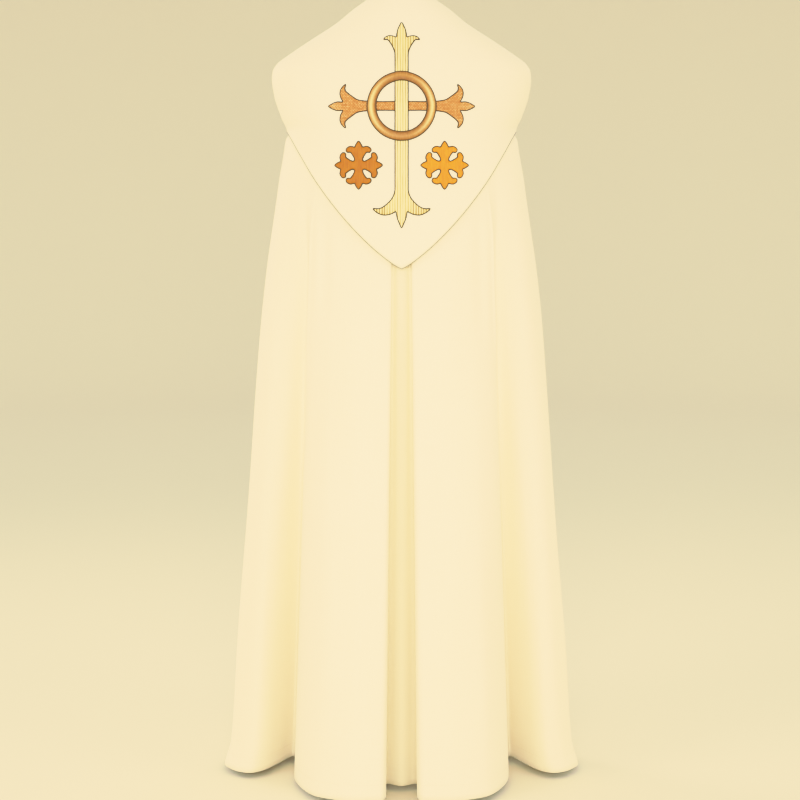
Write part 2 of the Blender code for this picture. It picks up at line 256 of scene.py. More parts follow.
def smooth_place(sizes, turn, back=None):
    """A point of the smooth section, where turn is 0 behind, 1 at the side and 2 at the front edge."""
    back = sizes.back if back is None else back
    if turn <= 1.0:
        angle = turn * math.pi / 2.0
        across, along = math.sin(angle), -math.cos(angle)
    else:
        # the front edge lies at the angle that lets it hang straight
        edge = math.asin(clamp(FRONT_EDGE / sizes.half_width, 0.0, 0.98) ** (OVAL_POWER / 2.0))
        angle = (2.0 - turn) * (math.pi / 2.0 - edge) + edge
        across, along = math.sin(angle), math.cos(angle)
    depth = back if along < 0.0 else sizes.front
    power = 2.0 / OVAL_POWER
    x = sizes.half_width * abs(across) ** power
    y = math.copysign(depth * abs(along) ** power, along)
    return x, y


def guided_x(height, half_width, hem_x, turn):
    """Moves a hem place sideways to another height, along the pleat's, panel's and side's edges."""
    drop = clamp((height - HEM_HEIGHT) / (FOLD_SETTLED - HEM_HEIGHT), 0.0, 1.2)
    pleat = HEM_PLEAT_EDGE + (TOP_PLEAT_EDGE - HEM_PLEAT_EDGE) * drop
    panel = HEM_PANEL_EDGE + (TOP_PANEL_EDGE - HEM_PANEL_EDGE) * drop
    if turn <= 1.0:
        marks = ((0.0, 0.0), (HEM_PLEAT_EDGE, pleat), (HEM_PANEL_EDGE, panel), (HEM_SIDE, half_width))
    else:
        marks = ((FRONT_EDGE, FRONT_EDGE), (HEM_SIDE, half_width))
    for (hem_a, x_a), (hem_b, x_b) in zip(marks, marks[1:]):
        if hem_x <= hem_b or (hem_b, x_b) == marks[-1]:
            return x_a + (hem_x - hem_a) * (x_b - x_a) / (hem_b - hem_a)
    return hem_x


def hood_edge(turn):
    """Height of the hood's lower edge: a point behind, rising to the side and on to the front."""
    if turn <= 1.0:
        rise = math.sin(turn * math.pi / 2.0) ** HOOD_EDGE_POWER
        return HOOD_TIP + (HOOD_SIDE - HOOD_TIP) * rise
    return HOOD_SIDE + (HOOD_FRONT - HOOD_SIDE) * ease(turn - 1.0)


def swelling(height, turn):
    """How far the body cloth stands out sideways just below the hood's edge."""
    below = hood_edge(turn) - height
    if below <= 0.0:
        return 0.0
    if turn <= 1.0:
        share = ease((turn - SWELL_BACK_TURN) / (1.0 - SWELL_BACK_TURN))
    else:
        share = ease((SWELL_FRONT_TURN - turn) / (SWELL_FRONT_TURN - 1.0))
    return SWELL * share * ease(below / SWELL_RISE) * (1.0 - ease(below / SWELL_FALL))


def fold_place(height, sizes, fold):
    """Where one line of FOLDS passes through a height."""
    x, y = smooth_place(sizes, fold.turn)
    x += swelling(height, fold.turn)
    growth = fold_growth(height)
    if growth <= 0.0:
        return x, y
    settled = ease((FOLD_START - height) / (FOLD_START - FOLD_SETTLED))
    tucked = clamp((growth - TUCK_START) / (1.0 - TUCK_START))
    guided = guided_x(height, sizes.half_width, fold.hem_x, fold.turn)
    x = x + (guided - x) * settled + fold.tuck * tucked
    return x, y + (fold.hem_y - y) * growth


def curve_point(before, start, end, after, t):
    """A point of a rounded curve through a row of points, between start and end."""
    return tuple(
        0.5 * (2.0 * b + (c - a) * t + (2.0 * a - 5.0 * b + 4.0 * c - d) * t**2 + (3.0 * b - a - 3.0 * c + d) * t**3)
        for a, b, c, d in zip(before, start, end, after)
    )


def half_section(height):
    """The right half's line of cloth at a height, from the pleat's middle to the front edge."""
    sizes = level(height)
    keys = [fold_place(height, sizes, fold) for fold in FOLDS]
    mirrored = (-keys[1][0], keys[1][1])
    beyond = tuple(2.0 * last - inner for last, inner in zip(keys[-1], keys[-2]))
    keys = [mirrored, *keys, beyond]
    points = [keys[1]]
    for place, fold in enumerate(FOLDS[1:], start=1):
        for step in range(1, fold.steps + 1):
            points.append(curve_point(*keys[place - 1 : place + 3], step / fold.steps))
    return points


def half_turns():
    """The turn of every column of the right half."""
    turns = [FOLDS[0].turn]
    for before, fold in zip(FOLDS, FOLDS[1:]):
        span = fold.turn - before.turn
        turns += [before.turn + span * step / fold.steps for step in range(1, fold.steps + 1)]
    return turns


def column_of(line):
    """The number of the column, counted from the back's middle, at which a fold line lies."""
    place = [fold.line for fold in FOLDS].index(line)
    return sum(fold.steps for fold in FOLDS[1 : place + 1])


def body_rows():
    """Heights of the rows of the fine cloth, closer together over the shoulders."""
    rows = [0.0]
    while rows[-1] > HEM_HEIGHT + 0.5 * ROW_STEP:
        rows.append(rows[-1] - (UPPER_ROW_STEP if rows[-1] > UPPER_ROWS_END else ROW_STEP))
    rows[-1] = HEM_HEIGHT
    return rows


def full_ring(height):
    """The whole line of cloth at a height, from the left front edge round to the right one."""
    right = [(x, y, height) for x, y in half_section(height)]
    left = [(-x, y, z) for x, y, z in right[:0:-1]]
    return left + right


def grid_normals(grid):
    """Unit directions out of the cloth for an array of rows, columns and coordinates."""
    across = np.empty_like(grid)
    across[:, 1:-1] = grid[:, 2:] - grid[:, :-2]
    across[:, 0] = grid[:, 1] - grid[:, 0]
    across[:, -1] = grid[:, -1] - grid[:, -2]
    down = np.empty_like(grid)
    down[1:-1] = grid[2:] - grid[:-2]
    down[0] = grid[1] - grid[0]
    down[-1] = grid[-1] - grid[-2]
    normals = np.cross(down, across)
    return normals / np.linalg.norm(normals, axis=2, keepdims=True)


def crease_lift(grid, turns):
    """The height of all creases at every point of the body cloth."""
    lift = np.zeros(grid.shape[:2])
    heights = grid[:, :, 2]
    girth = lengths_along(grid[-1])
    for crease in CREASES:
        column = int(np.argmin(np.abs(turns - crease.side * crease.turn)))
        away = (girth - girth[column])[None, :] / crease.width
        fade = CREASE_FADE * (crease.top - crease.bottom)
        down = ease((crease.top - heights) / fade) * ease((heights - crease.bottom) / fade)
        lift += crease.lift * np.exp(-((2.0 * away) ** 2)) * down
    return lift


def lengths_along(line):
    """The length of a row of places up to each of them."""
    return np.concatenate([[0.0], np.cumsum(np.linalg.norm(np.diff(line, axis=0), axis=1))])


def cloth_lengths(grid):
    """Lengths along and down the cloth, which place its weave."""
    across = np.linalg.norm(np.diff(grid, axis=1), axis=2)
    down = np.linalg.norm(np.diff(grid, axis=0), axis=2)
    u = np.concatenate([np.zeros((grid.shape[0], 1)), np.cumsum(across, axis=1)], axis=1)
    v = np.concatenate([np.zeros((1, grid.shape[1])), np.cumsum(down, axis=0)], axis=0)
    return np.stack([np.broadcast_to(u[-1:, :], v.shape), v], axis=2)


def linked(name, data):
    item = bpy.data.objects.new(name, data)
    bpy.context.scene.collection.objects.link(item)
    return item


def finished(name, form, material):
    """Turns a form into an object of the scene."""
    mesh = bpy.data.meshes.new(name)
    form.to_mesh(mesh)
    form.free()
    mesh.materials.append(material)
    return linked(name, mesh)


def stand_for(piece, node):
    """Puts a cloth piece in the place of a solid."""
    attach(piece, "root")
    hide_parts(node)


def perimeter(rows, columns):
    """The places round the edge of a grid, in order."""
    return (
        [(0, c) for c in range(columns)]
        + [(r, columns - 1) for r in range(1, rows)]
        + [(rows - 1, c) for c in range(columns - 2, -1, -1)]
        + [(r, 0) for r in range(rows - 2, 0, -1)]
    )


def shell(name, outer, normals, wall, places, material):
    """A closed cloth shell with rounded rims, from the outer face's points and directions."""
    middle = outer - normals * wall / 2.0
    inner = outer - normals * wall
    rows, columns = outer.shape[:2]
    bulge = wall * RIM_ROUND

    def pushed(edge, inside):
        out = edge - inside
        return edge + out / np.linalg.norm(out, axis=-1, keepdims=True) * bulge

    ring = perimeter(rows, columns)
    inward = [(min(max(r, 1), rows - 2), min(max(c, 1), columns - 2)) for r, c in ring]
    rim = [pushed(middle[here], middle[inside]) for here, inside in zip(ring, inward)]
    form = bmesh.new()
    layer = form.loops.layers.uv.new("cloth")
    skin = [[form.verts.new(p) for p in row] for row in outer]
    back = [[form.verts.new(p) for p in row] for row in inner]
    edge = [form.verts.new(p) for p in rim]

    def face(corners, spots):
        made = form.faces.new(corners)
        made.smooth = True
        for loop, spot in zip(made.loops, spots):
            loop[layer].uv = places[spot]

    for r in range(rows - 1):
        for c in range(columns - 1):
            spots = ((r, c), (r + 1, c), (r + 1, c + 1), (r, c + 1))
            face([skin[i][j] for i, j in spots], spots)
            turned = spots[::-1]
            face([back[i][j] for i, j in turned], turned)
    for (a, m), (b, n) in zip(zip(ring, edge), zip(ring[1:] + ring[:1], edge[1:] + edge[:1])):
        face([skin[a[0]][a[1]], skin[b[0]][b[1]], n, m], (a, b, b, a))
        face([m, n, back[b[0]][b[1]], back[a[0]][a[1]]], (a, b, b, a))
    return finished(name, form, material)


THREAD_PITCH = 0.0007    # one thread of the embroidery
TWIST_PITCH = 0.0016     # one turn of a cord


class Value:
    """A node's output, on which sums are written as plain arithmetic."""

    def __init__(self, nodes, output):
        self.nodes, self.output = nodes, output

    def __add__(self, other):
        return self.nodes.math("ADD", self, other)

    def __sub__(self, other):
        return self.nodes.math("SUBTRACT", self, other)

    def __mul__(self, other):
        return self.nodes.math("MULTIPLY", self, other)

    def __abs__(self):
        return self.nodes.math("ABSOLUTE", self)

    def clamped(self):
        return self.nodes.math("MINIMUM", self.nodes.math("MAXIMUM", self, 0.0), 1.0)

    def wave(self, pitch, kind="SINE"):
        return self.nodes.math(kind, self * (2.0 * math.pi / pitch))

    def threads(self, pitch=THREAD_PITCH):
        """Fine parallel threads across this direction, as a height between 0 and 1."""
        return self.wave(pitch) * 0.5 + 0.5


class Nodes:
    """Short calls for building a material's nodes."""

    def __init__(self, name, colour, roughness, specular=0.5):
        self.material = bpy.data.materials.new(name)
        self.material.use_nodes = True
        self.tree = self.material.node_tree
        self.shader = self.tree.nodes["Principled BSDF"].inputs
        self.shader["Base Color"].default_value = (*colour, 1.0)
        self.shader["Roughness"].default_value = roughness
        self.shader["Specular IOR Level"].default_value = specular
        self.material.diffuse_color = (*colour, 1.0)

    def add(self, kind, **values):
        """Adds a node and sets its inputs: a value is linked, anything else is set."""
        node = self.tree.nodes.new(kind)
        for key, value in values.items():
            self.put(value, node.inputs[key.replace("_", " ")])
        return node

    def put(self, value, socket):
        if isinstance(value, Value):
            self.tree.links.new(value.output, socket)
        else:
            socket.default_value = value

    def math(self, operation, first, second=None):
        node = self.add("ShaderNodeMath")
        node.operation = operation
        self.put(first, node.inputs[0])
        if second is not None:
            self.put(second, node.inputs[1])
        return Value(self, node.outputs[0])

    def place(self, layer):
        """The lengths along and down a layer's cloth or stitches, together and one by one."""
        source = self.add("ShaderNodeUVMap")
        source.uv_map = layer
        vector = Value(self, source.outputs[0])
        split = self.add("ShaderNodeSeparateXYZ", Vector=vector)
        return vector, Value(self, split.outputs[0]), Value(self, split.outputs[1])

    def noise(self, vector, across, down, detail=2.0):
        """Uneven tones, with so many changes in a metre across and down."""
        mapping = self.add("ShaderNodeMapping", Vector=vector, Scale=(across, down, 1.0))
        noise = self.add("ShaderNodeTexNoise", Vector=Value(self, mapping.outputs[0]), Scale=1.0, Detail=detail)
        return Value(self, noise.outputs["Fac"])

    def ramp(self, factor, stops):
        node = self.add("ShaderNodeValToRGB", Fac=factor)
        while len(node.color_ramp.elements) < len(stops):
            node.color_ramp.elements.new(0.5)
        for element, (where, colour) in zip(node.color_ramp.elements, stops):
            element.position = where
            element.color = (*colour, 1.0)
        return Value(self, node.outputs[0])

    def colour(self, tone, stops):
        self.put(self.ramp(tone, stops), self.shader["Base Color"])

    def bump(self, height, distance, strength):
        node = self.add("ShaderNodeBump", Distance=distance, Strength=strength, Height=height)
        self.put(Value(self, node.outputs[0]), self.shader["Normal"])


WEAVE_PITCH = 0.0007     # one thread of the cloth
SLUB_LENGTH = 0.060      # a thicker stretch of thread
CLOTH_LIGHT = (0.950, 0.850, 0.615)
CLOTH_DEEP = (0.925, 0.812, 0.562)
THREAD_LIGHT = (0.900, 0.780, 0.540)
THREAD_DEEP = (0.820, 0.690, 0.440)
# The pleat's underlay: the cream cloth in darker tones, painted shade for the pleat's recess
PLEAT_PAINTED_SHADE_LIGHT = (0.870, 0.765, 0.500)
PLEAT_PAINTED_SHADE_DEEP = (0.840, 0.730, 0.460)


def cloth_material(name, light, deep):
    """A smooth plain weave with uneven threads and a soft low sheen."""
    nodes = Nodes(name, light, 0.62, 0.30)
    vector, u, v = nodes.place("cloth")
    weave = u.wave(WEAVE_PITCH) * v.wave(WEAVE_PITCH)
    fine, coarse = 0.25 / WEAVE_PITCH, 1.0 / SLUB_LENGTH
    slubs = nodes.noise(vector, fine, coarse) + nodes.noise(vector, coarse, fine)
    cloud = nodes.noise(vector, 5.0, 3.0, detail=3.0)
    dark = tuple(0.82 * c for c in deep)
    nodes.colour(slubs * 0.35 + cloud * 0.40, ((0.0, dark), (0.30, deep), (0.75, light)))
    nodes.bump(weave * 0.25 + slubs * 0.6, 0.00010, 0.5)
    nodes.shader["Sheen Weight"].default_value = 0.25
    nodes.shader["Sheen Roughness"].default_value = 0.45
    return nodes.material


def tube_ring(form, middle, along, out, radius):
    """A ring of corners of a thread or cord that runs along a direction."""
    side = along.cross(out).normalized()
    turns = [2.0 * math.pi * k / CORD_SIDES for k in range(CORD_SIDES)]
    return [form.verts.new(middle + (side * math.cos(turn) + out * math.sin(turn)) * radius) for turn in turns]


def tube_band(form, here, ahead, start, end, width):
    """The faces between two rings, from one length to another. width: one side's, round the tube."""
    layer = form.loops.layers.uv["stitch"]
    for k in range(CORD_SIDES):
        n = (k + 1) % CORD_SIDES
        face = form.faces.new((here[k], here[n], ahead[n], ahead[k]))
        face.smooth = True
        for corner, (length, side) in zip(face.loops, ((start, k), (start, k + 1), (end, k + 1), (end, k))):
            corner[layer].uv = (length, side * width)


def tube_ends(form, rings):
    form.faces.new(rings[0])
    form.faces.new(rings[-1][::-1])


def tube_object(name, form, material):
    bmesh.ops.recalc_face_normals(form, faces=form.faces[:])
    item = finished(name, form, material)
    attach(item, "root")
    return item


def stitches(name, line, outs, material):
    """A row of short stitches along a line of the cloth."""
    lengths = lengths_along(line)
    form = bmesh.new()
    form.loops.layers.uv.new("stitch")

    def at(values, length):
        return Vector([np.interp(length, lengths, values[:, axis]) for axis in range(3)])

    for start in np.arange(STITCH_PITCH, lengths[-1] - STITCH_PITCH, STITCH_PITCH):
        rings = []
        for share, size in STITCH_SHAPE:
            length = start + STITCH_LENGTH * share
            out = at(outs, length).normalized()
            along = at(line, length + 0.0005) - at(line, length - 0.0005)
            middle = at(line, length) + out * STITCH_RADIUS * (size - STITCH_END)
            rings.append(tube_ring(form, middle, along, out, STITCH_RADIUS * size))
        step = STITCH_LENGTH / (len(STITCH_SHAPE) - 1)
        for place, (here, ahead) in enumerate(zip(rings, rings[1:])):
            tube_band(form, here, ahead, place * step, (place + 1) * step, STITCH_RADIUS)
        tube_ends(form, rings)
    return tube_object(name, form, material)


def build_body(material, pleat_shaded_cloth, thread):
    """The five panels of the body and their stitches; gives back the two back panels."""
    grid = np.array([full_ring(height) for height in body_rows()])
    half = np.array(half_turns())
    grid = grid + grid_normals(grid) * crease_lift(grid, np.concatenate([-half[:0:-1], half]))[:, :, None]
    normals = grid_normals(grid)
    places = cloth_lengths(grid)
    middle, floor_seam, side_seam = (column_of(line) for line in ("front_edge", "pleat_pocket", "side_seam"))
    names = ("front_left", "back_left", "pleat_underlay", "back_right", "front_right")
    seams = [middle + step for step in (-middle, -side_seam, -floor_seam, floor_seam, side_seam, middle)]
    pieces = {}
    for name, first, end in zip(names, seams, seams[1:]):
        columns = slice(first, end + 1)
        part = grid[:, columns].copy()
        for column, inner, at_seam in ((0, 1, first > 0), (-1, -2, end < seams[-1])):
            if at_seam:
                inward = part[:, inner] - part[:, column]
                length = np.linalg.norm(inward, axis=1, keepdims=True)
                draw_in = SEAM_GAP / 2.0 + BODY_WALL * RIM_ROUND
                part[:, column] += inward / length * np.minimum(draw_in, SEAM_SHARE * length)
        # the underlay takes the cloth darkened with painted shade
        chosen = pleat_shaded_cloth if name == "pleat_underlay" else material
        pieces[name] = shell(name + "_cloth", part, normals[:, columns], BODY_WALL, places[:, columns], chosen)
        stand_for(pieces[name], name)
    hem = stitches("hem_stitches", grid[HEM_STITCH_ROW], normals[HEM_STITCH_ROW], thread)
    rows = slice(EDGE_STITCH_ENDS, -EDGE_STITCH_ENDS)
    left, right = (
        stitches(name, grid[rows, column], normals[rows, column], thread)
        for name, column in (
            ("left_edge_stitches", EDGE_STITCH_COLUMN),
            ("right_edge_stitches", -1 - EDGE_STITCH_COLUMN),
        )
    )
    backs = [pieces["back_left"], pieces["back_right"]]
    return backs


def hood_turns():
    half = [step / HOOD_BACK_STEPS for step in range(HOOD_BACK_STEPS)]
    half += [1.0 + step / HOOD_FRONT_STEPS for step in range(HOOD_FRONT_STEPS + 1)]
    return [-turn for turn in half[:0:-1]] + half


def hood_row(step, turn):
    """Height of one row of the hood's points at a turn: level over the shoulders, then along its edge."""
    if step <= HOOD_UPPER_STEPS:
        return SHOULDER_HEIGHT * step / HOOD_UPPER_STEPS
    return SHOULDER_HEIGHT + (hood_edge(turn) - SHOULDER_HEIGHT) * (step - HOOD_UPPER_STEPS) / HOOD_LOWER_STEPS


def envelope_point(height, turn):
    """The smooth form that the body cloth stays inside of, also where its folds open."""
    sizes = level(height)
    growth = fold_growth(height)
    x, y = smooth_place(sizes, abs(turn), sizes.back + (HEM_BACK - sizes.back) * growth)
    return math.copysign(x, turn) if turn else 0.0, y, height


def hood_gap(height):
    """The space between the body cloth's smooth form and the hood's inner face."""
    opening = ease(-height / HOOD_EASE_DEPTH)
    gap = HOOD_NECK_EASE + (HOOD_EASE - HOOD_NECK_EASE) * opening
    hang = ease((SHOULDER_HEIGHT - height) / (SHOULDER_HEIGHT - HOOD_TIP))
    return gap + (HOOD_TIP_EASE - HOOD_EASE) * hang


def cord_tube(name, middles, outs, lengths, radius, closed, material):
    """A thin round cord along a row of places."""
    form = bmesh.new()
    form.loops.layers.uv.new("stitch")
    count = len(middles)
    rings = []
    for place, (middle, out) in enumerate(zip(middles, outs)):
        after = middles[(place + 1) % count] if closed or place < count - 1 else middle
        before = middles[place - 1] if closed or place else middle
        rings.append(tube_ring(form, middle, after - before, out, radius))
    width = 2.0 * math.pi * radius / CORD_SIDES
    for place in range(count if closed else count - 1):
        here, ahead = rings[place], rings[(place + 1) % count]
        tube_band(form, here, ahead, lengths[place], lengths[place + 1], width)
    if not closed:
        tube_ends(form, rings)
    return tube_object(name, form, material)


def build_hood(material):
    """The hood, and a thin tan cord along its lower edge, put where the edge's shadow falls: painted shadow."""
    turns = hood_turns()
    steps = HOOD_UPPER_STEPS + HOOD_LOWER_STEPS + 1
    base = np.array([[envelope_point(hood_row(s, abs(t)), t) for t in turns] for s in range(steps)])
    outer = base + grid_normals(base) * (hood_gap(base[:, :, 2]) + HOOD_WALL)[:, :, None]
    normals = grid_normals(outer)
    piece = shell("hood_cloth", outer, normals, HOOD_WALL, cloth_lengths(outer), material)
    middles = [Vector(p) for p in outer[-1] - normals[-1] * EDGE_SHADOW_CORD_SUNK]
    outs = [Vector(n) for n in normals[-1]]
    # a dark tan tube along the edge, painted shadow
    shadow_tan = cord_material("edge_shadow_cord", EDGE_SHADOW_TAN)
    cord = cord_tube("hood_edge_shadow_cord", middles, outs, lengths_along(outer[-1]), EDGE_SHADOW_CORD_RADIUS, False, shadow_tan)
    stand_for(piece, "hood")
    return piece, cord


def build_morse(material, thread):
    grid = []
    for r in range(MORSE_ROWS):
        height = MORSE_TOP + (MORSE_BOTTOM - MORSE_TOP) * r / (MORSE_ROWS - 1)
        sizes = level(height)
        line = []
        for c in range(MORSE_COLUMNS):
            x = MORSE_HALF_WIDTH * (1.0 - 2.0 * c / (MORSE_COLUMNS - 1))
            share = clamp(abs(x) / sizes.half_width) ** OVAL_POWER
            line.append((x, sizes.front * (1.0 - share) ** (1.0 / OVAL_POWER), height))
        grid.append(line)
    base = np.array(grid)
    lift = hood_gap(MORSE_BOTTOM) + HOOD_WALL + MORSE_EASE
    outer = base + grid_normals(base) * (lift + MORSE_WALL)
    normals = grid_normals(outer)
    piece = shell("morse_cloth", outer, normals, MORSE_WALL, cloth_lengths(outer), material)
    stand_for(piece, "morse")
    inset = MORSE_STITCH_INSET
    path = [(r + inset, c + inset) for r, c in perimeter(MORSE_ROWS - 2 * inset, MORSE_COLUMNS - 2 * inset)]
    path.append(path[0])
    line, outs = (np.array([values[spot] for spot in path]) for values in (outer, normals))
    sewn = stitches("morse_stitches", line, outs, thread)


# The embroidery's middle on the hood, and the grid round it that the shapes are drawn on
CREST_HEIGHT = -0.2344
CREST_GRID = 0.0011
CREST_HALF_WIDTH = 0.155
CREST_BOTTOM = -0.180
CREST_TOP = 0.200


def with_mirror(stroke, x=1, z=1):
    """A stroke and its mirror image, across x or z."""
    return stroke, tuple((x * a, z * b, radius) for a, b, radius in stroke)


# Strokes in mm from the embroidery's middle: x to the right, z up, and the half width of the stroke there
STAFF = (
    ((0, 140, 11.5), (0, 60, 11.5), (0, -20, 11.5), (0, -100, 11.5), (0, -118, 12.5)),
    ((0, -125, 9.0), (0, -140, 9.6), (0, -152, 8.0), (0, -163, 4.0), (0, -172, 0.5)),
    *with_mirror(
        ((3, -112, 8.8), (9, -126, 9.6), (19, -137, 9.6), (31, -142.5, 7.0), (42, -142, 3.4), (51, -138, 0.5)), x=-1
    ),
    ((0, 146, 9.0), (0, 162, 9.0), (0, 174, 7.4), (0, 184, 3.6), (0, 191, 0.5)),
    *with_mirror(
        ((3, 138, 8.0), (8, 150, 8.2), (14, 158, 7.0), (21, 162.5, 4.4), (27, 162.5, 2.2), (32.5, 159.5, 0.5)), x=-1
    ),
)
# One arm of the crossbar, and one of a crosslet: along the arm, across it, half width
CROSSBAR_ARM = (
    ((0, 0, 8.0), (30, 0, 7.6), (50, 0, 7.8), (66, 0, 8.8), (78, 0, 10.6), (88, 0, 11.6), (94, 0, 9.5)),
    ((92, 0, 6.0), (103, 0, 6.6), (113, 0, 7.6), (122, 0, 4.4), (130, 0, 0.5)),
    *with_mirror(
        ((84, 4, 8.6), (93, 10, 9.0), (100.5, 17.5, 7.5), (104, 25, 5.0), (103, 32, 2.6), (99, 38.5, 0.5)), z=-1
    ),
)
CROSSBAR_ANGLES = (0.0, 180.0)
CROSSING = (0.0, 42.0)
CROSSLET_ARM = (
    ((0, 0, 8.0), (12, 0, 6.8), (22, 0, 7.5)),
    ((22, 0, 6.0), (31, 0, 6.4), (37, 0, 3.8), (42.5, 0, 0.5)),
    *with_mirror(((17, 3, 6.0), (24, 7.5, 6.0), (28.5, 13.5, 4.8), (26.8, 18, 4.4)), z=-1),
)
CROSSLET_ANGLES = (0.0, 90.0, 180.0, 270.0)
LEFT_CROSSLET = (-76.0, -62.0)
RIGHT_CROSSLET = (76.0, -62.0)
# The ring round the crossing: its middle line's radius and the half width of its band
RING_RADIUS = 53.0
RING_BAND = 7.6
RING_STEPS = 48
RING_THREADS = 476       # satin stitches all round it
STROKE_STEP = 0.6        # mm between the sampled places of a stroke
THINNEST = 0.3           # mm, half width of a stroke at its tip
MERGE = 2.4              # mm over which strokes flow into each other
REACH = 0.006            # how far beyond a stroke distances are measured

# Heights over the hood in metres: at a shape's edge, its crown above that, and over what width it rises
Fill = namedtuple("Fill", "edge crown spread")
CROSSBAR_FILL = Fill(0.0004, 0.0010, 0.0030)
STAFF_FILL = Fill(0.0006, 0.0012, 0.0040)
RING_FILL = Fill(0.0006, 0.0022, 0.0060)
CROSSLET_FILL = Fill(0.0005, 0.0013, 0.0035)
SUNK = 0.0002            # how far the stitches reach into the hood's face
STAFF_RIDGE = 0.00022    # laid cords under the staff's stitches
STAFF_RIDGE_PITCH = 0.0046
CORD_RADIUS = 0.0011
CORD_STEP = 0.0017
SHORTEST_LOOP = 8        # corners of the shortest outline that gets a cord
GROUND_SOFTENED = 6      # times that the height under a new shape is evened out
LOOP_SOFTENED = 3        # times that an outline is


def sampled(stroke):
    """Places along a stroke's middle, close together, each with its half width."""
    spots = [stroke[0], *stroke, stroke[-1]]
    out = []
    for place in range(1, len(spots) - 2):
        start, end = spots[place], spots[place + 1]
        count = max(1, round(math.dist(start[:2], end[:2]) / STROKE_STEP))
        for step in range(count + (place == len(spots) - 3)):
            x, z, radius = curve_point(*spots[place - 1 : place + 3], step / count)
            out.append((x, z, max(radius, THINNEST)))
    return np.array(out)


def turned(arm, angle, middle):
    """An arm's strokes, turned by an angle in degrees about a middle."""
    c, s = math.cos(math.radians(angle)), math.sin(math.radians(angle))
    return [
        [(middle[0] + x * c - z * s, middle[1] + x * s + z * c, radius) for x, z, radius in stroke]
        for stroke in arm
    ]


